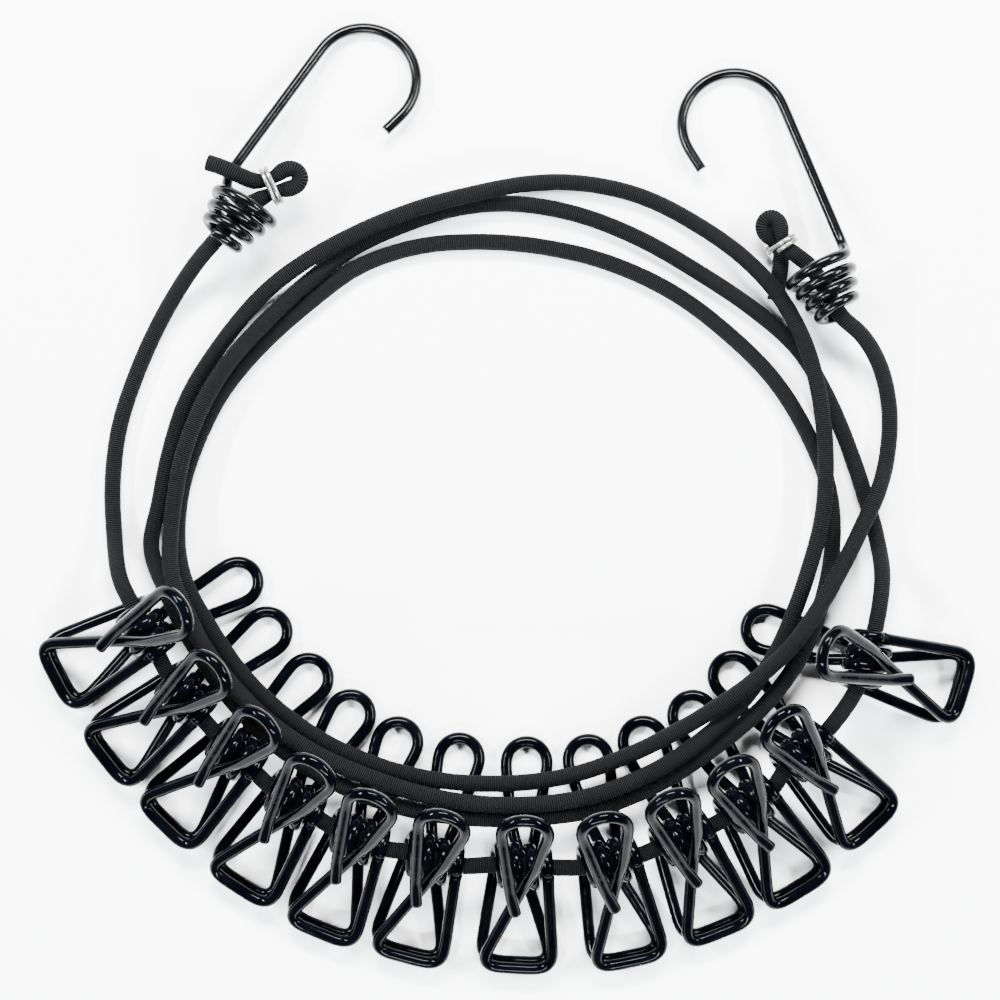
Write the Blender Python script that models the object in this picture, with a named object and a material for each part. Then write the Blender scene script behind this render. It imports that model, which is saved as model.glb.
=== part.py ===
"""Elastic travel clothesline: one coiled bungee cord, twelve sprung wire clips threaded on it,
and at each end a wire hook whose spiral grips the cord behind a ringed loop.

Frame: the line lies coiled on a table, z = 0 is the table, +Y points to the hooks' side and
+X to the right.  Lengths below are in millimetres and are turned into metres in one place.
"""
import math

import bmesh
import bpy
from mathutils import Matrix, Vector

MM = 0.001
CENTRE = (1.561, 0.378, 0.0)     # middle of the clips' and hooks' outline on the table, mm

# ---- driving dimensions, mm and degrees -------------------------------------------------
CORD_DIAMETER = 4.0
CORD_BEVEL_RESOLUTION = 2

CLIP_WIRE = 2.9              # steel wire with its plastic coat
COIL_RADIUS = 4.25           # centreline
COIL_LENGTH = 12.7           # centreline, end to end along the cord
COIL_TURNS = 3.5
JAW_REACH = 27.0             # coil axis to the jaw bar
JAW_HALF_WIDTH = 8.4
JAW_CORNER = 4.6             # from a corner to where its bend starts
JAW_HALF_GAP = 1.6           # jaw bar above the clip's middle plane
SHOULDER_HEIGHT = 7.9        # where a lever rides over the coil
HANDLE_REACH = 30.9          # coil axis to the far end of the handle
HANDLE_ANGLE = 42.0          # each handle off the middle plane
UPPER_LOOP_RADIUS = 5.5
LOWER_LOOP_RADIUS = 5.1
LEVER_GAP = 0.7              # between a lever's end and its coil

HOOK_WIRE = 2.6
SPIRAL_WIDE_RADIUS = 8.3
SPIRAL_NARROW_RADIUS = 4.5
SPIRAL_LENGTH = 12.4
SPIRAL_TURNS = 3.8
SPIRAL_START = 0.1           # turns left out where the shank runs in
SHANK_OFFSET = 7.4           # shank beside the spiral's axis
SHANK_BEND = 3.0
BOW_RADIUS = 12.6
BOW_CENTRE = 40.2            # from the spiral's wide end
BOW_TIP_ANGLE = -100.0
BOW_TIP_LEG = 5.4            # straight, from the bow's arc to the cut tip

RING_WIRE = 1.1
RING_TURNS = 1.9
RING_PITCH = 1.2
RING_CLEARANCE = 0.5
STRAND_SPACING = 3.4         # the two strands that a ring holds together
PINCH = 0.8                  # share of its thickness that the cord keeps in a ring
PINCH_REACH = (1.3, 3.3)     # from a ring: still as thin as in it, and full again

WIRE_SIDES = 6
SAME_AREA = math.sqrt(2 * math.pi / (WIRE_SIDES * math.sin(2 * math.pi / WIRE_SIDES)))

# ---- where each clip's coil is on the table: x, y, and the way its jaws point -------------
CLIPS = [
    (-84.4, -30.8, -152.5),
    (-75.0, -46.5, -142),
    (-63.0, -60.0, -134.5),
    (-49.1, -71.8, -123),
    (-33.8, -80.4, -112.5),
    (-16.0, -85.3, -105),
    (5.2, -87.0, -93),
    (26.1, -86.0, -78.5),
    (43.5, -80.3, -68),
    (59.0, -72.3, -58.5),
    (72.4, -60.0, -47.5),
    (87.0, -38.2, -17),
]

# ---- the cord's route, from one cut end to the other: x, y, z -----------------------------
# The two strands through the clips run where CLIPS says, between FIRST_END and LOOPS.
FIRST_END = [
    # cut end, over the hook's shank, through the ring, round the small loop and back
    (-69.5, 80.2, 12.8), (-65.8, 79.0, 13.0), (-61.4, 77.0, 12.0), (-58.6, 76.0, 10.6),
    (-56.4, 76.1, 10.2), (-54.0, 77.0, 9.9), (-52.4, 78.3, 9.8), (-50.6, 79.3, 9.5),
    (-48.6, 78.9, 9.1), (-47.5, 77.2, 8.8), (-48.3, 75.3, 8.7), (-50.4, 74.4, 8.7),
    (-52.8, 74.0, 8.9), (-55.2, 73.0, 9.0), (-57.6, 71.8, 9.2),
    # down through the spiral
    (-60.4, 70.4, 9.5), (-67.3, 62.5, 10.8),
    # down to the table and round the left outside
    (-72.0, 57.4, 9.2), (-76.9, 51.2, 5.5), (-82.4, 42.5, 2.2), (-88.0, 30.0, 2.0),
    (-92.0, 17.5, 2.0), (-93.6, 4.0, 2.0), (-93.0, -8.0, 3.6), (-90.8, -18.5, 10.0),
]
LOOPS = [
    # up the right side, under the later strands, and over the top
    (91.4, -19.0, 9.0), (91.0, -9.6, 2.8), (88.8, -1.0, 2.0), (84.5, 12.0, 2.0),
    (79.0, 25.0, 2.0), (72.0, 36.5, 2.0), (62.0, 45.5, 2.0), (48.0, 55.0, 2.0),
    (33.0, 63.5, 2.0), (18.0, 69.2, 2.0), (3.0, 71.6, 2.0), (-10.0, 70.6, 2.0),
    (-22.5, 66.8, 2.0), (-35.5, 60.8, 2.4), (-46.0, 52.8, 3.8),
    # down the left side on top of its neighbours
    (-55.5, 43.8, 5.2), (-65.5, 32.6, 6.4), (-72.0, 21.5, 6.6), (-76.1, 10.6, 6.6),
    (-78.2, -0.5, 6.6), (-79.0, -9.5, 8.0), (-78.2, -18.0, 11.2), (-74.6, -26.6, 13.0),
    # first free strand along the handles
    (-69.0, -37.0, 13.0), (-58.0, -50.0, 12.6), (-46.0, -59.0, 12.2), (-31.0, -66.0, 12.0),
    (-14.0, -71.0, 12.0), (3.0, -72.6, 12.0), (20.0, -70.8, 12.0), (34.0, -65.8, 12.0),
    (46.0, -58.6, 11.4), (57.4, -48.5, 10.3), (65.3, -37.8, 8.2), (70.4, -27.2, 6.8),
    (74.7, -14.7, 6.4),
    # right side, over two strands
    (77.4, -4.0, 6.3), (78.2, 9.0, 6.4), (77.0, 23.0, 6.4), (73.6, 36.5, 6.4),
    (67.6, 48.0, 6.8), (59.5, 57.5, 5.0), (48.5, 66.0, 2.2), (34.0, 73.4, 2.0),
    (19.0, 76.6, 2.0), (7.0, 76.2, 4.4), (-6.0, 73.6, 6.4), (-20.0, 69.9, 6.4),
    (-35.0, 63.8, 6.4), (-48.2, 56.3, 6.4),
    # left side, on the table
    (-58.0, 48.6, 4.4), (-68.6, 36.0, 2.0), (-75.8, 24.0, 2.0), (-80.0, 11.0, 2.0),
    (-82.4, -1.0, 2.0), (-84.2, -11.0, 3.2), (-79.8, -22.0, 8.4),
    # second free strand, close behind the clips' coils
    (-73.0, -35.0, 9.3), (-64.2, -47.8, 9.0), (-53.6, -58.6, 8.6), (-40.0, -67.4, 8.4),
    (-25.0, -73.2, 8.2), (-10.0, -75.9, 8.2), (6.0, -76.2, 8.2), (22.0, -74.2, 8.2),
    (37.0, -68.4, 8.2), (50.6, -59.8, 8.2), (64.2, -48.2, 8.0), (72.6, -36.2, 8.0),
    # right side and top, innermost
    (77.2, -24.6, 6.6), (80.2, -12.0, 2.6), (79.6, 2.0, 2.0), (74.8, 15.0, 2.0),
    (66.6, 28.5, 2.0), (56.0, 39.4, 2.0), (42.0, 50.0, 2.0), (26.0, 57.4, 2.0),
    (10.0, 61.2, 2.0), (-5.0, 62.4, 2.0), (-20.0, 61.2, 2.0), (-34.0, 56.4, 2.0),
    (-46.2, 47.6, 2.0),
    # left side, innermost
    (-58.0, 37.0, 2.0), (-66.8, 26.4, 2.0), (-72.6, 15.4, 2.0), (-76.4, 4.5, 2.0),
    (-77.8, -5.0, 2.2), (-77.4, -12.5, 4.6), (-75.2, -20.2, 7.8),
    # third free strand along the handles' ends
    (-70.4, -29.0, 7.8), (-61.0, -42.6, 7.6), (-49.0, -53.4, 7.6), (-35.0, -61.4, 7.4),
    (-18.0, -66.6, 7.4), (-1.0, -68.0, 7.4), (16.0, -66.2, 7.4), (31.0, -61.0, 8.0),
    (42.0, -55.2, 10.8), (51.6, -49.0, 14.2), (60.0, -43.0, 14.4), (68.6, -35.4, 13.6),
    (75.6, -26.0, 12.6),
    # over the right side and up to the other hook
    (82.0, -15.5, 9.4), (87.2, -5.6, 7.0), (90.4, 1.0, 6.3), (93.0, 8.5, 3.2),
    (94.2, 18.0, 2.0), (93.5, 26.0, 2.4), (91.0, 33.2, 5.0), (86.7, 39.4, 8.4),
]
LAST_END = [
    # up through the spiral
    (81.2, 44.2, 9.8), (77.4, 51.2, 8.9), (74.0, 56.2, 8.3),
    # through the ring, round the small loop and back to the cut end on the table
    (71.0, 58.6, 7.8), (68.8, 60.6, 7.4), (67.6, 62.9, 7.3), (67.4, 65.1, 7.0),
    (66.7, 67.2, 6.3), (65.0, 68.1, 5.6), (63.4, 67.1, 5.1), (63.2, 65.4, 4.7),
    (64.1, 63.9, 4.1), (66.0, 62.4, 4.1), (67.4, 59.8, 4.3), (67.7, 57.2, 3.8),
    (67.4, 54.4, 2.8), (67.0, 51.4, 2.1),
    (66.5, 48.4, 2.0),
]

# ---- hooks: centre of the spiral's wide end, the way the bow points, and which side is up --
HOOKS = {
    "hook_a": {"at": (-59.9, 72.1), "heading": 54.8, "turned_over": False},
    "hook_b": {"at": (76.2, 55.8), "heading": 112.0, "turned_over": True},
}
# ---- hog rings: the middle of each strand held, and the way the strands run ---------------
RINGS = {
    "hog_ring_a": {"strands": ((-54.0, 73.5, 9.0), (-55.2, 76.5, 10.0)), "heading": 22.0},
    "hog_ring_b": {"strands": ((66.8, 61.0, 4.3), (68.2, 61.8, 7.3)), "heading": 119.0},
}


# ---- helpers ------------------------------------------------------------------------------
def placed(x, y, z):
    """A point of the layout, counted from the middle of the outline."""
    return Vector((x, y, z)) - Vector(CENTRE)


def rotation(axis, degrees):
    return Matrix.Rotation(math.radians(degrees), 4, axis)


def material(name, colour, roughness, metallic=0.0):
    made = bpy.data.materials.new(name)
    made.use_nodes = True
    shader = made.node_tree.nodes["Principled BSDF"]
    shader.inputs["Base Color"].default_value = (*colour, 1.0)
    shader.inputs["Roughness"].default_value = roughness
    shader.inputs["Metallic"].default_value = metallic
    return made


def add(name, mesh, finish, parent=None):
    thing = bpy.data.objects.new(name, mesh)
    bpy.context.scene.collection.objects.link(thing)
    if not mesh.materials:
        mesh.materials.append(finish)
    thing.parent = parent
    return thing


def softened(before, corner, after, cut, steps=2):
    """Points that round one corner of a bent wire, from cut before it to cut after it."""
    start = corner + (before - corner).normalized() * cut
    end = corner + (after - corner).normalized() * cut
    points = []
    for i in range(steps + 1):
        t = i / steps
        points.append(start * (1 - t) ** 2 + corner * 2 * t * (1 - t) + end * t * t)
    return points


def wire_mesh(name, points, diameter, up, carried=False):
    """A bent wire of six flats. up fixes how the flats lie; carried lets it turn with the wire."""
    radius = diameter / 2 * SAME_AREA
    mesh = bmesh.new()
    rings = []
    for i, point in enumerate(points):
        ahead = points[min(i + 1, len(points) - 1)]
        behind = points[max(i - 1, 0)]
        along = (ahead - behind).normalized()
        normal = (up - along * up.dot(along)).normalized()
        if carried:
            up = normal
        side = along.cross(normal)
        ring = []
        for k in range(WIRE_SIDES):
            turn = 2 * math.pi * k / WIRE_SIDES
            offset = (side * math.cos(turn) + normal * math.sin(turn)) * radius
            ring.append(mesh.verts.new((point + offset) * MM))
        rings.append(ring)
    for near, far in zip(rings, rings[1:]):
        for k in range(WIRE_SIDES):
            n = (k + 1) % WIRE_SIDES
            mesh.faces.new((near[k], near[n], far[n], far[k]))
    mesh.faces.new(rings[0][::-1])
    mesh.faces.new(rings[-1])
    bmesh.ops.recalc_face_normals(mesh, faces=mesh.faces)
    data = bpy.data.meshes.new(name)
    mesh.to_mesh(data)
    mesh.free()
    data.shade_smooth()
    data.set_sharp_from_angle(angle=math.radians(65))
    return data


# ---- clips --------------------------------------------------------------------------------
def clip_tilt():
    """How far a clip leans on its cord when its lower jaw and lower handle both lie on the table."""
    angle = math.radians(HANDLE_ANGLE)
    rise = HANDLE_REACH * math.sin(angle) - JAW_HALF_GAP
    run = HANDLE_REACH * math.cos(angle) + JAW_REACH
    return math.degrees(math.atan2(rise, run))


def coil_height():
    """Height of a clip's coil axis above the table."""
    lean = math.radians(clip_tilt())
    flat = CLIP_WIRE / 2 * SAME_AREA * math.cos(math.pi / WIRE_SIDES)
    return JAW_REACH * math.sin(lean) + JAW_HALF_GAP * math.cos(lean) + flat


def upper_lever_path(loop_radius=UPPER_LOOP_RADIUS):
    """Upper lever, from its cut end round the handle, across the coil and round the jaw bar.

    Clip frame: x from the coil axis to the jaws, y along the cord, z up.
    """
    angle = math.radians(HANDLE_ANGLE)
    shoulder = Vector((0, 0, SHOULDER_HEIGHT))
    tip = Vector((-HANDLE_REACH * math.cos(angle), 0, HANDLE_REACH * math.sin(angle)))
    out = (tip - shoulder).normalized()
    side = Vector((0, 1, 0))
    centre = tip - out * loop_radius
    path = [Vector((8.0, -1.0, 8.8)), Vector((2.5, -2.4, 10.1))]
    for degrees in range(-105, 106, 35):
        turn = math.radians(degrees)
        path.append(centre + (out * math.cos(turn) + side * math.sin(turn)) * loop_radius)
    path.append(Vector((-5.0, 2.9, 11.0)))
    path.append(Vector((0.0, 1.1, SHOULDER_HEIGHT)))
    path.append(Vector((4.5, -0.6, 6.4)))
    near_corner = Vector((JAW_REACH, -JAW_HALF_WIDTH - 0.6, JAW_HALF_GAP))
    far_corner = Vector((JAW_REACH, JAW_HALF_WIDTH + 0.6, JAW_HALF_GAP))
    coil_end = Vector((LEVER_GAP / 2, COIL_LENGTH / 2, COIL_RADIUS))
    path += softened(path[-1], near_corner, far_corner, JAW_CORNER)
    path += softened(near_corner, far_corner, coil_end, JAW_CORNER)
    path.append(coil_end)
    return path


def half_turn(path):
    """The lower lever is the upper one turned half round about the clip's own x axis."""
    return [Vector((p.x, -p.y, -p.z)) for p in path]


def coil_path(steps=32):
    path = []
    start = LEVER_GAP / 2 / COIL_RADIUS
    end = 2 * math.pi * COIL_TURNS - start
    for i in range(steps + 1):
        t = i / steps
        turn = start + (end - start) * t
        path.append(Vector((
            -COIL_RADIUS * math.sin(turn),
            COIL_LENGTH * (0.5 - t),
            COIL_RADIUS * math.cos(turn),
        )))
    return path


def make_clips(finish):
    """Each clip: a lower lever and coil that ride on the cord, and an upper lever sprung about it."""
    lean = rotation("Y", clip_tilt())
    up = lean.inverted().to_3x3() @ Vector((0, 0, 1))
    upper = wire_mesh("upper_lever", upper_lever_path(), CLIP_WIRE, up)
    lower = wire_mesh("lower_lever", half_turn(upper_lever_path(LOWER_LOOP_RADIUS)), CLIP_WIRE, up)
    coil = wire_mesh("coil", coil_path(), CLIP_WIRE, Vector((0, 1, 0)))
    for number, (x, y, heading) in enumerate(CLIPS, start=1):
        seat = bpy.data.objects.new(f"clip_{number:02d}_seat", None)
        bpy.context.scene.collection.objects.link(seat)
        seat.matrix_world = (
            Matrix.Translation(placed(x, y, coil_height()) * MM) @ rotation("Z", heading) @ lean
        )
        add(f"clip_{number:02d}_lower_lever", lower, finish, seat)
        add(f"clip_{number:02d}_coil", coil, finish, seat)
        add(f"clip_{number:02d}_upper_lever", upper, finish, seat)


# ---- hooks --------------------------------------------------------------------------------
def hook_path(steps_per_turn=10):
    """From the hook's tip round the bow, down the shank and round the spiral, in the bow's plane.

    Hook frame: x along the spiral's axis to the bow, y to the shank's side, z up.
    """
    path = []
    shank = SHANK_OFFSET
    centre = Vector((BOW_CENTRE, shank - BOW_RADIUS, 0))
    bow_steps = 8
    arc_end = math.radians(BOW_TIP_ANGLE)
    arc_point = centre + Vector((math.cos(arc_end), math.sin(arc_end), 0)) * BOW_RADIUS
    path.append(arc_point + Vector((math.sin(arc_end), -math.cos(arc_end), 0)) * BOW_TIP_LEG)
    for i in range(bow_steps + 1):
        turn = math.radians(BOW_TIP_ANGLE + (90 - BOW_TIP_ANGLE) * i / bow_steps)
        path.append(centre + Vector((math.cos(turn), math.sin(turn), 0)) * BOW_RADIUS)
    corner = Vector((1.5, shank, 0))
    spiral = []
    total = round(steps_per_turn * SPIRAL_TURNS)
    for i in range(round(steps_per_turn * SPIRAL_START), total + 1):
        t = i / total
        turn = 2 * math.pi * SPIRAL_TURNS * t
        radius = SPIRAL_WIDE_RADIUS + (SPIRAL_NARROW_RADIUS - SPIRAL_WIDE_RADIUS) * t
        spiral.append(Vector((
            -SPIRAL_LENGTH * t,
            radius * math.cos(turn),
            -radius * math.sin(turn),
        )))
    return path + softened(path[-1], corner, spiral[0], SHANK_BEND)[:-1] + spiral


def hook_stand(path):
    """Lean and height of a hook that rests on its spiral and on the far side of its bow."""
    far = max(path, key=lambda p: p.x)
    lean = max(math.atan2(far.z - p.z, far.x - p.x) for p in path if p.x < SHANK_BEND)
    below = HOOK_WIRE / 2 * SAME_AREA
    return math.degrees(lean), far.x * math.sin(lean) + below


def make_hooks(finish):
    for name, place in HOOKS.items():
        path = hook_path()
        if place["turned_over"]:
            path = half_turn(path)
        lean, height = hook_stand(path)
        inward = path[2] - path[0]
        mesh = wire_mesh(name, path, HOOK_WIRE, inward.cross(Vector((0, 0, 1))), carried=True)
        hook = add(name, mesh, finish)
        hook.matrix_world = (
            Matrix.Translation(placed(*place["at"], height) * MM)
            @ rotation("Z", place["heading"])
            @ rotation("Y", lean)
        )


# ---- hog rings ----------------------------------------------------------------------------
def ring_path(steps_per_turn=12):
    """Nearly two turns of soft wire pressed round two strands that lie side by side.

    Ring frame: x along the strands, y across them.
    """
    path = []
    half = steps_per_turn // 2
    bend = math.pi / (half - 1)
    radius = (CORD_DIAMETER / 2 * PINCH + RING_CLEARANCE + RING_WIRE / 2) / math.cos(bend / 2)
    total = round(steps_per_turn * RING_TURNS)
    for i in range(total + 1):
        step = i % steps_per_turn
        side = 1 if step < half else -1
        turn = -math.pi / 2 + bend * (step if step < half else step - 1)
        path.append(Vector((
            RING_PITCH * (i / steps_per_turn - RING_TURNS / 2),
            radius * math.cos(turn) + STRAND_SPACING / 2 * side,
            radius * math.sin(turn),
        )))
    return path


def make_rings(finish):
    for name, place in RINGS.items():
        mesh = wire_mesh(name, ring_path(), RING_WIRE, Vector((1, 0, 0)))
        ring = add(name, mesh, finish)
        low, high = (placed(*point) for point in place["strands"])
        along = rotation("Z", place["heading"]).to_3x3() @ Vector((1, 0, 0))
        across = (high - low) - along * (high - low).dot(along)
        across.normalize()
        turned = Matrix((along, across, along.cross(across))).transposed()
        ring.matrix_world = Matrix.Translation((low + high) / 2 * MM) @ turned.to_4x4()


# ---- cord ---------------------------------------------------------------------------------
def clip_run():
    """The cord's points through the clips: straight along each coil's axis."""
    points = []
    for x, y, heading in CLIPS:
        turn = math.radians(heading + 90)
        along = Vector((math.cos(turn), math.sin(turn), 0))
        middle = placed(x, y, coil_height())
        points += [middle - along * COIL_LENGTH / 2, middle + along * COIL_LENGTH / 2]
    return points


def cord_route():
    """Every point of the route, from the first cut end to the last."""
    first = [placed(*point) for point in FIRST_END]
    loops = [placed(*point) for point in LOOPS + LAST_END]
    return first + clip_run() + loops


def pinched(point):
    """Share of its full thickness that the cord has at a point: less inside a ring."""
    held = [placed(*strand) for ring in RINGS.values() for strand in ring["strands"]]
    away = min((point - middle).length for middle in held)
    near, far = PINCH_REACH
    return PINCH + (1 - PINCH) * min(1.0, max(0.0, away - near) / (far - near))


def smooth(route, per_span):
    """Points on the smooth curve (centripetal Catmull-Rom) through a route's own points."""
    ends = [route[0] * 2 - route[1]] + route + [route[-1] * 2 - route[-2]]
    points = []
    for a, b, c, d in zip(ends, ends[1:], ends[2:], ends[3:]):
        t1 = math.sqrt((b - a).length)
        t2 = t1 + math.sqrt((c - b).length)
        t3 = t2 + math.sqrt((d - c).length)
        for i in range(per_span):
            t = t1 + (t2 - t1) * i / per_span
            ab = a.lerp(b, t / t1)
            bc = b.lerp(c, (t - t1) / (t2 - t1))
            cd = c.lerp(d, (t - t2) / (t3 - t2))
            abc = ab.lerp(bc, t / t2)
            bcd = bc.lerp(cd, (t - t1) / (t3 - t1))
            points.append(abc.lerp(bcd, (t - t1) / (t2 - t1)))
    points.append(route[-1].copy())
    return points


def make_cord(finish):
    points = smooth(cord_route(), 1)
    curve = bpy.data.curves.new("elastic_cord", "CURVE")
    curve.dimensions = "3D"
    curve.bevel_depth = CORD_DIAMETER / 2 * MM
    curve.bevel_resolution = CORD_BEVEL_RESOLUTION
    curve.use_fill_caps = True
    spline = curve.splines.new("POLY")
    spline.points.add(len(points) - 1)
    for point, place in zip(spline.points, points):
        point.co = (*(place * MM), 1)
        point.radius = pinched(place)
    add("elastic_cord", curve, finish)


# ---- the whole line -----------------------------------------------------------------------
def main():
    for thing in list(bpy.data.objects):
        bpy.data.objects.remove(thing, do_unlink=True)
    coated = material("black_coated_wire", (0.012, 0.014, 0.02), 0.16)
    painted = material("black_painted_steel", (0.01, 0.011, 0.013), 0.2)
    textile = material("black_ribbed_textile", (0.02, 0.021, 0.022), 0.75)
    bright = material("bright_steel", (0.72, 0.72, 0.7), 0.25, metallic=1.0)
    make_clips(coated)
    make_hooks(painted)
    make_rings(bright)
    make_cord(textile)


main()
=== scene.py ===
"""Looks of the elastic clothesline: coated wire clips, painted hooks, bright rings, ribbed cord."""
import math

import bmesh
import bpy
import numpy as np
from mathutils import Matrix, Vector


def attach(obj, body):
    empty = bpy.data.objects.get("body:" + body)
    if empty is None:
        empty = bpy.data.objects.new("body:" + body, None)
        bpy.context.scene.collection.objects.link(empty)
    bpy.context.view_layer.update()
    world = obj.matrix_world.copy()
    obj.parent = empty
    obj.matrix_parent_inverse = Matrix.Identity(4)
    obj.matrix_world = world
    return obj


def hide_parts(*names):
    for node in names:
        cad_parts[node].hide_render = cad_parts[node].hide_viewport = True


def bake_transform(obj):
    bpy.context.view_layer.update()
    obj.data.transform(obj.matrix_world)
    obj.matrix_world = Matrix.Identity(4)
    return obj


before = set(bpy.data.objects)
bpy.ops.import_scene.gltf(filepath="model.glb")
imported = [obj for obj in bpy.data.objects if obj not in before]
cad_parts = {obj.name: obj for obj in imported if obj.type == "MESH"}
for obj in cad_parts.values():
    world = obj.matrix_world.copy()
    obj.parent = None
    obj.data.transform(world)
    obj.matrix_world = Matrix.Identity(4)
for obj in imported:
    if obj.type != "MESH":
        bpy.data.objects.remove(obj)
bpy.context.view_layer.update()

MM = 0.001
CENTRE = (1.561, 0.378, 0.0)     # middle of the clips' and hooks' outline on the table, mm

# ---- driving dimensions, mm and degrees, as in the part ----------------------------------
CORD_DIAMETER = 4.0
CLIP_WIRE = 2.9
COIL_RADIUS = 4.25
COIL_LENGTH = 12.7
COIL_TURNS = 3.5
JAW_REACH = 27.0
JAW_HALF_WIDTH = 8.4
JAW_CORNER_OUT = 0.6         # the corner before rounding, past the jaw's half width
JAW_CORNER = 4.6             # from a corner to where its bend starts
JAW_HALF_GAP = 1.6
SHOULDER_HEIGHT = 7.9
HANDLE_REACH = 30.9
HANDLE_ANGLE = 42.0
UPPER_LOOP_RADIUS = 5.5
LOWER_LOOP_RADIUS = 5.1
LOOP_SWEEP = 105             # each way from the tip of a handle's loop
LOOP_STEP = 7
CLIP_SIDES = 16
CORE_SHARE = 0.62            # steel core of the coated wire

HOOK_WIRE = 2.6
SPIRAL_WIDE_RADIUS = 8.3
SPIRAL_NARROW_RADIUS = 4.5
SPIRAL_LENGTH = 12.4
SPIRAL_TURNS = 3.8
SPIRAL_START = 0.1           # turns left out where the shank runs in
SHANK_OFFSET = 7.4           # shank beside the spiral's axis
SHANK_BEND = 3.0
BOW_RADIUS = 12.6
BOW_CENTRE = 40.2
BOW_TIP_ANGLE = -100.0
BOW_TIP_LEG = 5.4            # straight, from the bow's arc to the cut tip
SHANK_FOOT = 1.5             # past the spiral's wide end, where the shank bends in
HOOK_SIDES = 20

RING_WIRE = 1.1
RING_TURNS = 1.9
RING_PITCH = 1.2
RING_CLEARANCE = 0.5
STRAND_SPACING = 3.4
PINCH = 0.8                  # share of its thickness that the cord keeps in a ring
PINCH_REACH = (1.3, 3.3)     # from a ring: still as thin as in it, and full again
RING_SIDES = 14
CORD_SIDES = 20
BARE_SHARE = 0.8             # core of a cut hook, ring or cord

# ---- the part's wire has six flats: its flats and corners as shares of the round radius ----
FLAT_SHARE = math.sqrt(math.pi / (2 * math.sqrt(3)))
CORNER_SHARE = 1.1

# ---- fineness of each line: the step between its points in mm, and the easing passes -------
LEVER_EASING = (0.7, 10)
HOOK_EASING = (0.6, 8)
RING_EASING = (0.35, 4)
CORD_EASING = (0.6, 6)
COIL_STEPS = 112
CORD_STEPS = 12              # for each span of the route
PART_HOOK_STEPS = (8, 2, 10)     # of the bow, the bend and each turn, as in the part
HOOK_STEPS = (40, 8, 40)

# ---- a cut end: widths as shares of the radius, rises as shares of its rounding ------------
CUT_ROUNDING = 0.09
RIM_SHARE, RIM_RISE = 0.93, 0.6
CORE_RISE = 0.75
DOME_SHARE, DOME_RISE = 0.6, 1.15

# ---- where each clip's coil is on the table: x, y, and the way its jaws point -------------
CLIPS = [
    (-84.4, -30.8, -152.5),
    (-75.0, -46.5, -142),
    (-63.0, -60.0, -134.5),
    (-49.1, -71.8, -123),
    (-33.8, -80.4, -112.5),
    (-16.0, -85.3, -105),
    (5.2, -87.0, -93),
    (26.1, -86.0, -78.5),
    (43.5, -80.3, -68),
    (59.0, -72.3, -58.5),
    (72.4, -60.0, -47.5),
    (87.0, -38.2, -17),
]

# ---- the cord's route, from one cut end to the other: x, y, z -----------------------------
# The two strands through the clips run where CLIPS says, between FIRST_END and LOOPS.
FIRST_END = [
    # cut end, over the hook's shank, through the ring, round the small loop and back
    (-69.5, 80.2, 12.8), (-65.8, 79.0, 13.0), (-61.4, 77.0, 12.0), (-58.6, 76.0, 10.6),
    (-56.4, 76.1, 10.2), (-54.0, 77.0, 9.9), (-52.4, 78.3, 9.8), (-50.6, 79.3, 9.5),
    (-48.6, 78.9, 9.1), (-47.5, 77.2, 8.8), (-48.3, 75.3, 8.7), (-50.4, 74.4, 8.7),
    (-52.8, 74.0, 8.9), (-55.2, 73.0, 9.0), (-57.6, 71.8, 9.2),
    # down through the spiral
    (-60.4, 70.4, 9.5), (-67.3, 62.5, 10.8),
    # down to the table and round the left outside
    (-72.0, 57.4, 9.2), (-76.9, 51.2, 5.5), (-82.4, 42.5, 2.2), (-88.0, 30.0, 2.0),
    (-92.0, 17.5, 2.0), (-93.6, 4.0, 2.0), (-93.0, -8.0, 3.6), (-90.8, -18.5, 10.0),
]
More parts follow.
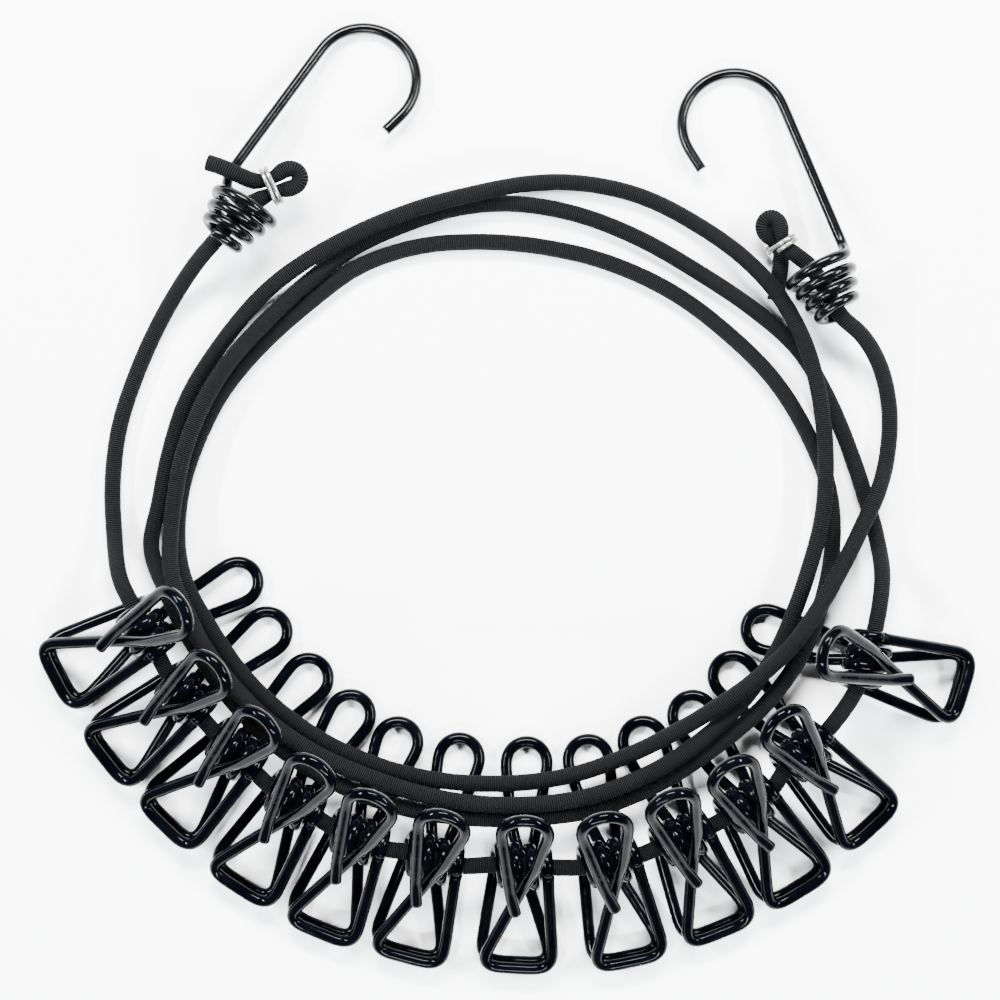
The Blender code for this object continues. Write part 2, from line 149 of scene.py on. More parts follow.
LOOPS = [
    # up the right side, under the later strands, and over the top
    (91.4, -19.0, 9.0), (91.0, -9.6, 2.8), (88.8, -1.0, 2.0), (84.5, 12.0, 2.0),
    (79.0, 25.0, 2.0), (72.0, 36.5, 2.0), (62.0, 45.5, 2.0), (48.0, 55.0, 2.0),
    (33.0, 63.5, 2.0), (18.0, 69.2, 2.0), (3.0, 71.6, 2.0), (-10.0, 70.6, 2.0),
    (-22.5, 66.8, 2.0), (-35.5, 60.8, 2.4), (-46.0, 52.8, 3.8),
    # down the left side on top of its neighbours
    (-55.5, 43.8, 5.2), (-65.5, 32.6, 6.4), (-72.0, 21.5, 6.6), (-76.1, 10.6, 6.6),
    (-78.2, -0.5, 6.6), (-79.0, -9.5, 8.0), (-78.2, -18.0, 11.2), (-74.6, -26.6, 13.0),
    # first free strand along the handles
    (-69.0, -37.0, 13.0), (-58.0, -50.0, 12.6), (-46.0, -59.0, 12.2), (-31.0, -66.0, 12.0),
    (-14.0, -71.0, 12.0), (3.0, -72.6, 12.0), (20.0, -70.8, 12.0), (34.0, -65.8, 12.0),
    (46.0, -58.6, 11.4), (57.4, -48.5, 10.3), (65.3, -37.8, 8.2), (70.4, -27.2, 6.8),
    (74.7, -14.7, 6.4),
    # right side, over two strands
    (77.4, -4.0, 6.3), (78.2, 9.0, 6.4), (77.0, 23.0, 6.4), (73.6, 36.5, 6.4),
    (67.6, 48.0, 6.8), (59.5, 57.5, 5.0), (48.5, 66.0, 2.2), (34.0, 73.4, 2.0),
    (19.0, 76.6, 2.0), (7.0, 76.2, 4.4), (-6.0, 73.6, 6.4), (-20.0, 69.9, 6.4),
    (-35.0, 63.8, 6.4), (-48.2, 56.3, 6.4),
    # left side, on the table
    (-58.0, 48.6, 4.4), (-68.6, 36.0, 2.0), (-75.8, 24.0, 2.0), (-80.0, 11.0, 2.0),
    (-82.4, -1.0, 2.0), (-84.2, -11.0, 3.2), (-79.8, -22.0, 8.4),
    # second free strand, close behind the clips' coils
    (-73.0, -35.0, 9.3), (-64.2, -47.8, 9.0), (-53.6, -58.6, 8.6), (-40.0, -67.4, 8.4),
    (-25.0, -73.2, 8.2), (-10.0, -75.9, 8.2), (6.0, -76.2, 8.2), (22.0, -74.2, 8.2),
    (37.0, -68.4, 8.2), (50.6, -59.8, 8.2), (64.2, -48.2, 8.0), (72.6, -36.2, 8.0),
    # right side and top, innermost
    (77.2, -24.6, 6.6), (80.2, -12.0, 2.6), (79.6, 2.0, 2.0), (74.8, 15.0, 2.0),
    (66.6, 28.5, 2.0), (56.0, 39.4, 2.0), (42.0, 50.0, 2.0), (26.0, 57.4, 2.0),
    (10.0, 61.2, 2.0), (-5.0, 62.4, 2.0), (-20.0, 61.2, 2.0), (-34.0, 56.4, 2.0),
    (-46.2, 47.6, 2.0),
    # left side, innermost
    (-58.0, 37.0, 2.0), (-66.8, 26.4, 2.0), (-72.6, 15.4, 2.0), (-76.4, 4.5, 2.0),
    (-77.8, -5.0, 2.2), (-77.4, -12.5, 4.6), (-75.2, -20.2, 7.8),
    # third free strand along the handles' ends
    (-70.4, -29.0, 7.8), (-61.0, -42.6, 7.6), (-49.0, -53.4, 7.6), (-35.0, -61.4, 7.4),
    (-18.0, -66.6, 7.4), (-1.0, -68.0, 7.4), (16.0, -66.2, 7.4), (31.0, -61.0, 8.0),
    (42.0, -55.2, 10.8), (51.6, -49.0, 14.2), (60.0, -43.0, 14.4), (68.6, -35.4, 13.6),
    (75.6, -26.0, 12.6),
    # over the right side and up to the other hook
    (82.0, -15.5, 9.4), (87.2, -5.6, 7.0), (90.4, 1.0, 6.3), (93.0, 8.5, 3.2),
    (94.2, 18.0, 2.0), (93.5, 26.0, 2.4), (91.0, 33.2, 5.0), (86.7, 39.4, 8.4),
]
LAST_END = [
    # up through the spiral
    (81.2, 44.2, 9.8), (77.4, 51.2, 8.9), (74.0, 56.2, 8.3),
    # through the ring, round the small loop and back to the cut end on the table
    (71.0, 58.6, 7.8), (68.8, 60.6, 7.4), (67.6, 62.9, 7.3), (67.4, 65.1, 7.0),
    (66.7, 67.2, 6.3), (65.0, 68.1, 5.6), (63.4, 67.1, 5.1), (63.2, 65.4, 4.7),
    (64.1, 63.9, 4.1), (66.0, 62.4, 4.1), (67.4, 59.8, 4.3), (67.7, 57.2, 3.8),
    (67.4, 54.4, 2.8), (67.0, 51.4, 2.1),
    (66.5, 48.4, 2.0),
]

# ---- hooks: centre of the spiral's wide end, the way the bow points, and which side is up --
HOOKS = {
    "hook_a": {"at": (-59.9, 72.1), "heading": 54.8, "turned_over": False},
    "hook_b": {"at": (76.2, 55.8), "heading": 112.0, "turned_over": True},
}
# ---- hog rings: the middle of each strand held, and the way the strands run ---------------
RINGS = {
    "hog_ring_a": {"strands": ((-54.0, 73.5, 9.0), (-55.2, 76.5, 10.0)), "heading": 22.0},
    "hog_ring_b": {"strands": ((66.8, 61.0, 4.3), (68.2, 61.8, 7.3)), "heading": 119.0},
}


# ---- helpers ------------------------------------------------------------------------------
def placed(x, y, z):
    """A point of the layout, counted from the middle of the outline."""
    return Vector((x, y, z)) - Vector(CENTRE)


def rotation(axis, degrees):
    """A turn about one axis."""
    return Matrix.Rotation(math.radians(degrees), 4, axis)


def softened(before, corner, after, cut, steps=8):
    """Points that round one corner of a bent wire, from cut before it to cut after it."""
    start = corner + (before - corner).normalized() * cut
    end = corner + (after - corner).normalized() * cut
    points = []
    for i in range(steps + 1):
        t = i / steps
        points.append(start * (1 - t) ** 2 + corner * 2 * t * (1 - t) + end * t * t)
    return points


def run_lengths(line):
    """How far along a line each of its points is."""
    return np.concatenate([[0], np.cumsum(np.linalg.norm(np.diff(line, axis=0), axis=1))])


def spaced(points, step):
    """The same line again, with its points about step apart."""
    line = np.array([tuple(p) for p in points], float)
    along = run_lengths(line)
    at = np.linspace(0, along[-1], max(2, round(along[-1] / step) + 1))
    return np.stack([np.interp(at, along, line[:, k]) for k in range(3)], axis=1)


def eased(points, step, passes):
    """A wire's line with its corners eased, as wire bends: its ends stay where they are.

    Each pass moves an inner point half way to the middle of its two neighbours.
    """
    line = spaced(points, step)
    for _ in range(passes):
        line[2:-2] += 0.5 * ((line[1:-3] + line[3:-1]) / 2 - line[2:-2])
    return line


def carried_frames(line, up):
    """Two directions across the line at each point, carried along it without twist."""
    along = np.gradient(line, axis=0)
    along /= np.linalg.norm(along, axis=1)[:, None]
    normals = np.zeros_like(line)
    normal = np.array(up, float)
    for i, t in enumerate(along):
        normal = normal - t * (normal @ t)
        normal /= np.linalg.norm(normal)
        normals[i] = normal
    return normals, np.cross(along, normals)


def tube(name, line, radii, sides, up, start=None, end=None):
    """A round wire or cord with closed ends, with u round it and v along it in mm.

    radii is one radius, or one for each point, and up is roughly the way from the line to
    the first point of its first ring.  start and end say how each end is cut: None is a
    plain end hidden in a neighbour, and a number is the share of the radius that the bare
    core takes, in the second material.
    """
    normals, others = carried_frames(line, up)
    radii = np.broadcast_to(radii, len(line))
    mesh = bmesh.new()
    layer = mesh.loops.layers.uv.new("wire")
    far = run_lengths(line)

    def ring(i, scale, shift=0.0):
        centre = line[i]
        if shift:
            ahead = line[1] - line[0] if i == 0 else line[-1] - line[-2]
            centre = centre + ahead / np.linalg.norm(ahead) * shift
        made = []
        for k in range(sides):
            turn = 2 * math.pi * k / sides
            offset = normals[i] * math.cos(turn) + others[i] * math.sin(turn)
            made.append(mesh.verts.new(Vector(centre + offset * radii[i] * scale) * MM))
        return made

    def band(near, next_ring, v0, v1, slot=0):
        for k in range(sides):
            n = (k + 1) % sides
            face = mesh.faces.new((near[k], near[n], next_ring[n], next_ring[k]))
            face.material_index = slot
            face.smooth = True
            ends = ((k, v0), (k + 1, v0), (k + 1, v1), (k, v1))
            for loop, (u, v) in zip(face.loops, ends):
                loop[layer].uv = (u / sides, v)

    def cap(first, i, share, outward):
        """Rings that turn in over the cut, then the core's own face."""
        v = far[i]
        if share is None:
            face = mesh.faces.new(first if outward < 0 else first[::-1])
            face.smooth = False
            return
        edge = radii[i] * CUT_ROUNDING
        rim = ring(i, RIM_SHARE, outward * edge * RIM_RISE)
        core = ring(i, share, outward * edge * CORE_RISE)
        dome = ring(i, share * DOME_SHARE, outward * edge * DOME_RISE)
        for near, inner, slot in ((first, rim, 0), (rim, core, 0), (core, dome, 1)):
            pair = (near, inner) if outward > 0 else (inner, near)
            band(pair[0], pair[1], v, v + outward * edge, slot)
        face = mesh.faces.new(dome if outward > 0 else dome[::-1])
        face.material_index = 1
        face.smooth = True

    last = len(line) - 1
    rings = [ring(i, 1.0) for i in range(len(line))]
    for i in range(last):
        band(rings[i], rings[i + 1], far[i], far[i + 1])
    cap(rings[0], 0, start, -1)
    cap(rings[last], last, end, 1)
    bmesh.ops.recalc_face_normals(mesh, faces=mesh.faces)
    data = bpy.data.meshes.new(name)
    mesh.to_mesh(data)
    mesh.free()
    return data


def show(name, data, materials, seat=None):
    """A piece made of its own copy of a mesh, laid at its seat."""
    own = data.copy()
    own.name = name
    if seat is not None:
        own.transform(seat)
    for finish in materials:
        own.materials.append(finish)
    thing = bpy.data.objects.new(name, own)
    bpy.context.scene.collection.objects.link(thing)
    return thing


# ---- materials ----------------------------------------------------------------------------
class Nodes:
    """A short way to wire up one material's nodes.

    Noise scales count per metre of the object unless a vector is given, and bump
    distances are in metres.
    """

    def __init__(self, name, **constants):
        self.material = bpy.data.materials.new(name)
        self.material.use_nodes = True
        self.tree = self.material.node_tree
        self.shader = self.tree.nodes["Principled BSDF"]
        for socket, value in constants.items():
            self.shader.inputs[socket.replace("_", " ")].default_value = value

    def feed(self, socket, value):
        """Links a socket to another node's output, or sets it to a constant."""
        if isinstance(value, bpy.types.NodeSocket):
            self.tree.links.new(value, socket)
        else:
            socket.default_value = value

    def node(self, kind, inputs=None, **settings):
        made = self.tree.nodes.new(kind)
        for key, value in settings.items():
            setattr(made, key, value)
        for key, value in (inputs or {}).items():
            self.feed(made.inputs[key], value)
        return made

    def math(self, operation, a, b=0.0, c=0.0):
        return self.node("ShaderNodeMath", {0: a, 1: b, 2: c}, operation=operation).outputs[0]

    def noise(self, scale, detail=2.0, roughness=0.5, vector=None):
        if vector is None:
            vector = self.node("ShaderNodeTexCoord").outputs["Object"]
        inputs = {"Vector": vector, "Scale": scale, "Detail": detail, "Roughness": roughness}
        return self.node("ShaderNodeTexNoise", inputs).outputs["Fac"]

    def spread(self, value, low, high, new_low, new_high):
        inputs = {"Value": value, "From Min": low, "From Max": high,
                  "To Min": new_low, "To Max": new_high}
        return self.node("ShaderNodeMapRange", inputs).outputs["Result"]

    def blend(self, factor, a, b):
        """One colour turning into another; the colour sockets are the node's 6, 7 and output 2."""
        return self.node("ShaderNodeMix", {0: factor, 6: a, 7: b}, data_type="RGBA").outputs[2]

    def bump(self, height, strength, distance, below=None):
        inputs = {"Height": height, "Strength": strength, "Distance": distance}
        if below is not None:
            inputs["Normal"] = below
        return self.node("ShaderNodeBump", inputs).outputs["Normal"]

    def drive(self, socket, value):
        self.tree.links.new(value, self.shader.inputs[socket])


def coated_wire():
    """Soft black plastic dipped on wire: deep gloss, slight waves, rubbed and dusty spots."""
    n = Nodes("clip_coat", Specular_IOR_Level=0.04, IOR=1.5)
    waves = n.noise(140.0, 3.0)
    dust = n.noise(2600.0, 2.0, 0.6)
    rub = n.noise(420.0, 4.0, 0.65)
    tone = n.blend(n.spread(waves, 0.35, 0.65, 0.0, 1.0),
                   (0.0003, 0.0004, 0.0008, 1), (0.0007, 0.0009, 0.0015, 1))
    n.drive("Base Color", n.blend(n.spread(dust, 0.7, 0.8, 0.0, 0.2), tone,
                                  (0.006, 0.007, 0.009, 1)))
    n.drive("Roughness", n.spread(rub, 0.35, 0.72, 0.06, 0.13))
    n.drive("Normal", n.bump(rub, 0.08, 0.0002, n.bump(waves, 0.25, 0.0006)))
    return n.material


def painted_steel():
    """Hard black enamel on drawn wire: bright reflections, fine draw lines, orange peel."""
    n = Nodes("hook_paint", Specular_IOR_Level=0.12, IOR=1.5)
    uv = n.node("ShaderNodeUVMap", uv_map="wire").outputs["UV"]
    along = n.node("ShaderNodeMapping", {"Vector": uv, "Scale": (60.0, 0.9, 1.0)}).outputs[0]
    lines = n.noise(1.0, 3.0, 0.6, along)
    peel = n.noise(1500.0, 1.0)
    wear = n.noise(260.0, 4.0, 0.7)
    tone = n.blend(n.spread(lines, 0.3, 0.7, 0.0, 1.0),
                   (0.0004, 0.0005, 0.0007, 1), (0.001, 0.0011, 0.0013, 1))
    n.drive("Base Color", n.blend(n.spread(wear, 0.68, 0.78, 0.0, 0.25), tone,
                                  (0.012, 0.0125, 0.013, 1)))
    n.drive("Roughness", n.spread(wear, 0.3, 0.75, 0.13, 0.27))
    n.drive("Normal", n.bump(peel, 0.1, 0.00015, n.bump(lines, 0.12, 0.0001)))
    return n.material


def bare_steel(name, dark, light):
    """Sheared or rolled steel with fine scratches."""
    n = Nodes(name, Metallic=1.0)
    grain = n.noise(3800.0, 3.0, 0.65)
    patch = n.noise(500.0, 3.0, 0.55)
    n.drive("Base Color", n.blend(patch, dark, light))
    n.drive("Roughness", n.spread(grain, 0.3, 0.7, 0.2, 0.42))
    n.drive("Normal", n.bump(grain, 0.3, 0.0001))
    return n.material


def rubber_core():
    """The bundle of pale rubber strands that shows where the cord is cut, with painted shade in the
    gaps between them.
    """
    n = Nodes("cord_core", Roughness=0.75)
    place = n.node("ShaderNodeTexCoord").outputs["Object"]
    cells = n.node("ShaderNodeTexVoronoi", {"Vector": place, "Scale": 1700.0})
    # painted shade: each strand's end goes dark towards its rim, as shade in the gaps between the
    # strands
    edge = n.spread(cells.outputs["Distance"], 0.25, 0.6, 0.0, 1.0)
    n.drive("Base Color", n.blend(edge, (0.19, 0.18, 0.16, 1), (0.03, 0.03, 0.03, 1)))
    n.drive("Normal", n.bump(cells.outputs["Distance"], 0.5, 0.0003))
    return n.material


RIB_PITCH = 0.50                  # mm along the cord
PICKS_ROUND = 26.0                # yarn floats counted round the cord


def ribbed_textile():
    """Woven cover of elastic cord: close ribs across it, each a row of small yarn floats, with
    painted shade black in the grooves between ribs and the rib tops painted lighter as if lit.
    """
    n = Nodes("cord_cover", Sheen_Weight=0.001, Sheen_Roughness=0.45, Specular_IOR_Level=0.025)
    n.shader.inputs["Sheen Tint"].default_value = (0.75, 0.8, 0.85, 1)
    uv = n.node("ShaderNodeUVMap", uv_map="wire").outputs["UV"]
    split = n.node("ShaderNodeSeparateXYZ", {"Vector": uv}).outputs
    wobble = n.math("MULTIPLY", n.noise(900.0, 2.0), 0.16)
    v = n.math("ADD", split["Y"], wobble)
    turns = n.math("MULTIPLY", v, 1.0 / RIB_PITCH)
    rib = n.math("ABSOLUTE", n.math("SINE", n.math("MULTIPLY", turns, math.pi)))
    row = n.math("FLOOR", turns)
    half = n.math("MULTIPLY", n.math("MODULO", row, 2.0), 0.5)
    around = n.math("ADD", n.math("MULTIPLY", split["X"], PICKS_ROUND), half)
    pick = n.math("ABSOLUTE", n.math("SINE", n.math("MULTIPLY", around, math.pi)))
    rib_relief_and_shade = n.math("MULTIPLY", n.math("POWER", rib, 1.3), n.spread(pick, 0.0, 1.0, 0.7, 1.0))
    fuzz = n.noise(5200.0, 3.0, 0.7)
    patch = n.noise(90.0, 3.0, 0.6)
    # painted shade and highlight: black in the grooves between the ribs, lighter on the lit tops of
    # the yarn floats
    tone = n.blend(n.spread(rib_relief_and_shade, 0.15, 0.95, 0.0, 1.0),
                   (0.0, 0.0, 0.0, 1), (0.0078, 0.0081, 0.0087, 1))
    worn = n.blend(n.spread(patch, 0.45, 0.75, 0.0, 0.12), tone, (0.0022, 0.0023, 0.0025, 1))
    n.drive("Base Color", n.blend(n.spread(fuzz, 0.64, 0.85, 0.0, 0.15), worn,
                                  (0.004, 0.0042, 0.0045, 1)))
    n.drive("Roughness", n.spread(rib_relief_and_shade, 0.0, 1.0, 0.85, 0.52))
    n.drive("Normal", n.bump(fuzz, 0.25, 0.0001, n.bump(rib_relief_and_shade, 1.0, 0.0003)))
    return n.material


def pale_floor():
    """Plain white table with the faintest unevenness."""
    n = Nodes("floor_white", Roughness=0.7, Specular_IOR_Level=0.2)
    n.drive("Base Color", n.blend(n.noise(6.0, 2.0), (0.93, 0.935, 0.945, 1),
                                  (0.95, 0.952, 0.96, 1)))
    return n.material


COAT = coated_wire()
PAINT = painted_steel()
CUT_STEEL = bare_steel("cut_steel", (0.2, 0.2, 0.195, 1), (0.32, 0.315, 0.31, 1))
BRIGHT = bare_steel("ring_steel", (0.2, 0.2, 0.195, 1), (0.34, 0.34, 0.33, 1))
COVER = ribbed_textile()
CORE = rubber_core()


# ---- clips --------------------------------------------------------------------------------
def clip_tilt():
    """How far a clip leans when its lower jaw and lower handle both lie on the table."""
    angle = math.radians(HANDLE_ANGLE)
    rise = HANDLE_REACH * math.sin(angle) - JAW_HALF_GAP
    run = HANDLE_REACH * math.cos(angle) + JAW_REACH
    return math.degrees(math.atan2(rise, run))


def coil_height():
    """Height of a clip's coil axis above the table."""
    lean = math.radians(clip_tilt())
    flat = CLIP_WIRE / 2 * FLAT_SHARE
    return JAW_REACH * math.sin(lean) + JAW_HALF_GAP * math.cos(lean) + flat


def lever_path(loop_radius):
    """A lever, from its cut end round the handle, across the coil and round the jaw bar.

    Clip frame: x from the coil axis to the jaws, y along the cord, z up.
    """
    angle = math.radians(HANDLE_ANGLE)
    shoulder = Vector((0, 0, SHOULDER_HEIGHT))
    tip = Vector((-HANDLE_REACH * math.cos(angle), 0, HANDLE_REACH * math.sin(angle)))
    out = (tip - shoulder).normalized()
    side = Vector((0, 1, 0))
    centre = tip - out * loop_radius
    # the cut tail and the arm that leads from it to the loop
    path = [Vector((8.0, -1.0, 8.8)), Vector((2.5, -2.4, 10.1))]
    for degrees in range(-LOOP_SWEEP, LOOP_SWEEP + 1, LOOP_STEP):
        turn = math.radians(degrees)
        path.append(centre + (out * math.cos(turn) + side * math.sin(turn)) * loop_radius)
    # the other arm, down past the shoulder
    path.append(Vector((-5.0, 2.9, 11.0)))
    path.append(Vector((0.0, 1.1, SHOULDER_HEIGHT)))
    path.append(Vector((4.5, -0.6, 6.4)))
    near_corner = Vector((JAW_REACH, -JAW_HALF_WIDTH - JAW_CORNER_OUT, JAW_HALF_GAP))
    far_corner = Vector((JAW_REACH, JAW_HALF_WIDTH + JAW_CORNER_OUT, JAW_HALF_GAP))
    coil_end = Vector((0, COIL_LENGTH / 2, COIL_RADIUS))
    path += softened(path[-1], near_corner, far_corner, JAW_CORNER)
    path += softened(near_corner, far_corner, coil_end, JAW_CORNER)
    path += [coil_end + Vector((2.0, 0.05, 0.0)), coil_end]
    return path


def coil_line():
    """The spring's turns round the cord, from the upper lever to the lower one."""
    turn = np.linspace(0, 2 * math.pi * COIL_TURNS, COIL_STEPS + 1)
    share = turn / turn[-1]
    lead = COIL_LENGTH * (0.5 - share)
    return np.stack([-COIL_RADIUS * np.sin(turn), lead, COIL_RADIUS * np.cos(turn)], axis=1)


def make_clips():
    """Twelve clips, each two levers and the spring turns that wind up between them."""
    lean = rotation("Y", clip_tilt())
    line = eased(lever_path(UPPER_LOOP_RADIUS), *LEVER_EASING)
    turned = eased(lever_path(LOWER_LOOP_RADIUS), *LEVER_EASING) * np.array([1.0, -1.0, -1.0])
    radius = CLIP_WIRE / 2
    across = (0.0, 0.3, 1.0)
    upper = tube("upper_lever_wire", line, radius, CLIP_SIDES, across, start=CORE_SHARE)
    lower = tube("lower_lever_wire", turned, radius, CLIP_SIDES, across, start=CORE_SHARE)
    coil = tube("coil_wire", coil_line(), radius, CLIP_SIDES, (0.0, 0.0, 1.0))
    for number, (x, y, heading) in enumerate(CLIPS, start=1):
        name = f"clip_{number:02d}"
        seat = (
            Matrix.Translation(placed(x, y, coil_height()) * MM) @ rotation("Z", heading) @ lean
        )
        for part, data, body in (("upper", upper, "_upper"), ("lower", lower, "_lower")):
            lever = show(f"{name}_{part}_wire", data, (COAT, CUT_STEEL), seat)
            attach(lever, name + body)
            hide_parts(f"{name}_{part}_lever")
        turns = show(f"{name}_spring_turns", coil, (COAT,), seat)
        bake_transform(turns)
        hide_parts(f"{name}_coil")


# ---- hooks --------------------------------------------------------------------------------
def hook_path(bow_steps, bend_steps, steps_per_turn):
    """From the hook's tip round the bow, down the shank and round the spiral.

    Hook frame: x along the spiral's axis to the bow, y to the shank's side, z up.
    """
    path = []
    shank = SHANK_OFFSET
    centre = Vector((BOW_CENTRE, shank - BOW_RADIUS, 0))
    arc_end = math.radians(BOW_TIP_ANGLE)
    arc_point = centre + Vector((math.cos(arc_end), math.sin(arc_end), 0)) * BOW_RADIUS
    path.append(arc_point + Vector((math.sin(arc_end), -math.cos(arc_end), 0)) * BOW_TIP_LEG)
    for i in range(bow_steps + 1):
        turn = math.radians(BOW_TIP_ANGLE + (90 - BOW_TIP_ANGLE) * i / bow_steps)
        path.append(centre + Vector((math.cos(turn), math.sin(turn), 0)) * BOW_RADIUS)
    corner = Vector((SHANK_FOOT, shank, 0))
    spiral = []
    total = round(steps_per_turn * SPIRAL_TURNS)
    for i in range(round(steps_per_turn * SPIRAL_START), total + 1):
        t = i / total
        turn = 2 * math.pi * SPIRAL_TURNS * t
        radius = SPIRAL_WIDE_RADIUS + (SPIRAL_NARROW_RADIUS - SPIRAL_WIDE_RADIUS) * t
        spiral.append(Vector((
            -SPIRAL_LENGTH * t, radius * math.cos(turn), -radius * math.sin(turn),
        )))
    return path + softened(path[-1], corner, spiral[0], SHANK_BEND, bend_steps)[:-1] + spiral


def make_hooks():
    """Two hooks, leaning and standing as high as the part's own coarser wire does."""
    for name, place in HOOKS.items():
        coarse, fine = hook_path(*PART_HOOK_STEPS), hook_path(*HOOK_STEPS)
        flip = -1.0 if place["turned_over"] else 1.0
        coarse = [Vector((p.x, flip * p.y, flip * p.z)) for p in coarse]
        far = max(coarse, key=lambda p: p.x)
        lean = max(math.atan2(far.z - p.z, far.x - p.x) for p in coarse if p.x < SHANK_BEND)
        height = far.x * math.sin(lean) + HOOK_WIRE / 2 * CORNER_SHARE
        line = eased(fine, *HOOK_EASING) * np.array([1.0, flip, flip])
        seat = (
            Matrix.Translation(placed(*place["at"], height) * MM)
            @ rotation("Z", place["heading"])
            @ rotation("Y", math.degrees(lean))
        )
        data = tube(name + "_wire", line, HOOK_WIRE / 2, HOOK_SIDES, (0, 0, 1),
                    start=BARE_SHARE, end=BARE_SHARE)
        hook = show(name + "_wire", data, (PAINT, CUT_STEEL), seat)
        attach(hook, name)
        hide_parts(name)


# ---- hog rings ----------------------------------------------------------------------------
def ring_path(steps_per_turn=12):
    """Nearly two turns of soft wire pressed round two strands that lie side by side.

    Ring frame: x along the strands, y across them.
    """
    path = []
    half = steps_per_turn // 2
    bend = math.pi / (half - 1)
    radius = (CORD_DIAMETER / 2 * PINCH + RING_CLEARANCE + RING_WIRE / 2) / math.cos(bend / 2)
    total = round(steps_per_turn * RING_TURNS)
    for i in range(total + 1):
        step = i % steps_per_turn
        side = 1 if step < half else -1
        turn = -math.pi / 2 + bend * (step if step < half else step - 1)
        path.append(Vector((
            RING_PITCH * (i / steps_per_turn - RING_TURNS / 2),
            radius * math.cos(turn) + STRAND_SPACING / 2 * side,
            radius * math.sin(turn),
        )))
    return path


def make_rings():
    """The two hog rings, each seated across the middles of the strands it holds."""
    for name, place in RINGS.items():
        low, high = (placed(*point) for point in place["strands"])
        along = rotation("Z", place["heading"]).to_3x3() @ Vector((1, 0, 0))
        across = (high - low) - along * (high - low).dot(along)
        across.normalize()
        turned = Matrix((along, across, along.cross(across))).transposed()
        seat = Matrix.Translation((low + high) / 2 * MM) @ turned.to_4x4()
        line = eased(ring_path(), *RING_EASING)
        data = tube(name + "_wire", line, RING_WIRE / 2, RING_SIDES, (1, 0, 0),
                    start=BARE_SHARE, end=BARE_SHARE)
        ring = show(name + "_wire", data, (BRIGHT, CUT_STEEL), seat)
        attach(ring, "cord")
        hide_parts(name)


# ---- cord ---------------------------------------------------------------------------------
def clip_run():
    """The cord's points through the clips: straight along each coil's axis."""
    points = []
    for x, y, heading in CLIPS:
        turn = math.radians(heading + 90)
        along = Vector((math.cos(turn), math.sin(turn), 0))
        middle = placed(x, y, coil_height())
        points += [middle - along * COIL_LENGTH / 2, middle + along * COIL_LENGTH / 2]
    return points


def cord_route():
    """The whole cord's own points, from one cut end to the other."""
    first = [placed(*point) for point in FIRST_END]
    loops = [placed(*point) for point in LOOPS + LAST_END]
    return first + clip_run() + loops


def smooth(route, per_span):
    """Points on the smooth curve (centripetal Catmull-Rom) through a route's own points."""
    ends = [route[0] * 2 - route[1]] + route + [route[-1] * 2 - route[-2]]
    points = []
    for a, b, c, d in zip(ends, ends[1:], ends[2:], ends[3:]):
        t1 = math.sqrt((b - a).length)
        t2 = t1 + math.sqrt((c - b).length)
        t3 = t2 + math.sqrt((d - c).length)
        for i in range(per_span):
            t = t1 + (t2 - t1) * i / per_span
            ab = a.lerp(b, t / t1)
            bc = b.lerp(c, (t - t1) / (t2 - t1))
            cd = c.lerp(d, (t - t2) / (t3 - t2))
            abc = ab.lerp(bc, t / t2)
            bcd = bc.lerp(cd, (t - t1) / (t3 - t1))
            points.append(abc.lerp(bcd, (t - t1) / (t2 - t1)))
    points.append(route[-1].copy())
    return points


def pinched(line):
    """Share of its full thickness that the cord has at each point: less inside a ring."""
    near, far = PINCH_REACH
    held = [placed(*strand) for ring in RINGS.values() for strand in ring["strands"]]
    away = np.min([np.linalg.norm(line - np.array(middle), axis=1) for middle in held], axis=0)
    return PINCH + (1 - PINCH) * np.clip((away - near) / (far - near), 0.0, 1.0)


def make_cord():
    """The ribbed cord on its route, never below the table, thinner inside the rings."""
    route = np.array([tuple(p) for p in smooth(cord_route(), CORD_STEPS)])
    route[:, 2] = np.maximum(route[:, 2], CORD_DIAMETER / 2)
    line = eased(route, *CORD_EASING)
    radii = CORD_DIAMETER / 2 * pinched(line)
    data = tube("cord_cover", line, radii, CORD_SIDES, (0, 0, 1),
                start=BARE_SHARE, end=BARE_SHARE)
    cord = show("cord_cover", data, (COVER, CORE))
    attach(cord, "cord")
    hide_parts("elastic_cord")


# ---- camera, floor and light --------------------------------------------------------------
VIEW_WIDTH = 0.2424              # m of the table seen across the picture
CAMERA_HEIGHT = 0.65
FLOOR_HALF = 3.0
FLOOR_DROP = 0.00005             # m below the table height, so that nothing lies in its plane
SKY_TINT = (0.94, 0.97, 1.0, 1)
HORIZON_GLOW = 0.3
ZENITH_GLOW = 0.02
GLOW_BAND = (0.15, 0.6)          # upward share of a direction, from full glow to the least
WARM, COOL = (1.0, 0.985, 0.965), (0.93, 0.97, 1.0)
SOFTBOXES = (                    # name, size in m, watts, place, colour
    ("key", (0.6, 0.2), 80.0, (0.0, 0.75, 0.85), WARM),
    ("left_strip", (0.5, 0.07), 42.0, (-0.8, 0.15, 0.7), COOL),
    ("right_strip", (0.5, 0.07), 42.0, (0.8, 0.15, 0.7), COOL),
    ("front_strip", (0.6, 0.07), 34.0, (0.0, -0.8, 0.7), COOL),
)


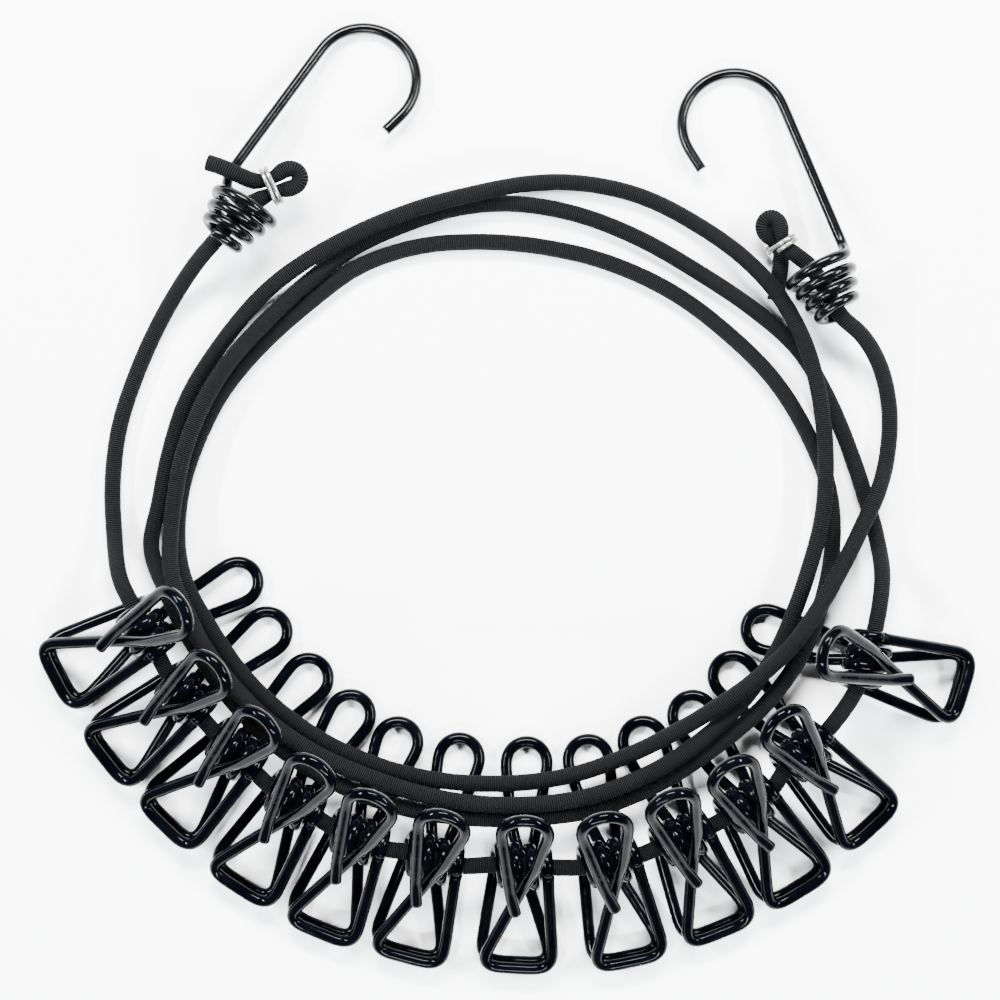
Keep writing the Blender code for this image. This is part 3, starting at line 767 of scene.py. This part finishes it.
def make_camera():
    """Straight above the table."""
    data = bpy.data.cameras.new("camera")
    data.sensor_width = 36.0
    data.angle = 2 * math.atan(VIEW_WIDTH / 2 / CAMERA_HEIGHT)
    camera = bpy.data.objects.new("camera", data)
    bpy.context.scene.collection.objects.link(camera)
    camera.location = (-CENTRE[0] * MM, -CENTRE[1] * MM, CAMERA_HEIGHT)
    bpy.context.scene.camera = camera


def make_floor():
    data = bpy.data.meshes.new("floor")
    half = FLOOR_HALF
    data.from_pydata([(-half, -half, 0), (half, -half, 0), (half, half, 0), (-half, half, 0)],
                     [], [(0, 1, 2, 3)])
    floor = show("floor", data, (pale_floor(),))
    floor.location.z = -FLOOR_DROP


def area_light(name, size, power, location, target, colour):
    """A softbox that faces its target."""
    data = bpy.data.lights.new(name, "AREA")
    data.shape = "RECTANGLE"
    data.size, data.size_y = size
    data.energy = power
    data.color = colour
    light = bpy.data.objects.new(name, data)
    bpy.context.scene.collection.objects.link(light)
    light.location = location
    aim = Vector(target) - Vector(location)
    light.rotation_mode = "QUATERNION"
    light.rotation_quaternion = aim.to_track_quat("-Z", "Y")


def make_light():
    """Four softboxes, and a dim room that glows a little near the horizon."""
    world = bpy.data.worlds.new("studio")
    world.use_nodes = True
    tree = world.node_tree
    back = tree.nodes["Background"]
    back.inputs["Color"].default_value = SKY_TINT
    way = tree.nodes.new("ShaderNodeTexCoord")
    parts = tree.nodes.new("ShaderNodeSeparateXYZ")
    fall = tree.nodes.new("ShaderNodeMapRange")
    for socket, value in zip(fall.inputs[1:5], (*GLOW_BAND, HORIZON_GLOW, ZENITH_GLOW)):
        socket.default_value = value
    tree.links.new(way.outputs["Generated"], parts.inputs[0])
    tree.links.new(parts.outputs["Z"], fall.inputs[0])
    tree.links.new(fall.outputs[0], back.inputs["Strength"])
    bpy.context.scene.world = world
    for name, size, power, location, colour in SOFTBOXES:
        area_light(name, size, power, location, (0, 0, 0), colour)


make_camera()
make_cord()
make_clips()
make_hooks()
make_rings()
make_floor()
make_light()
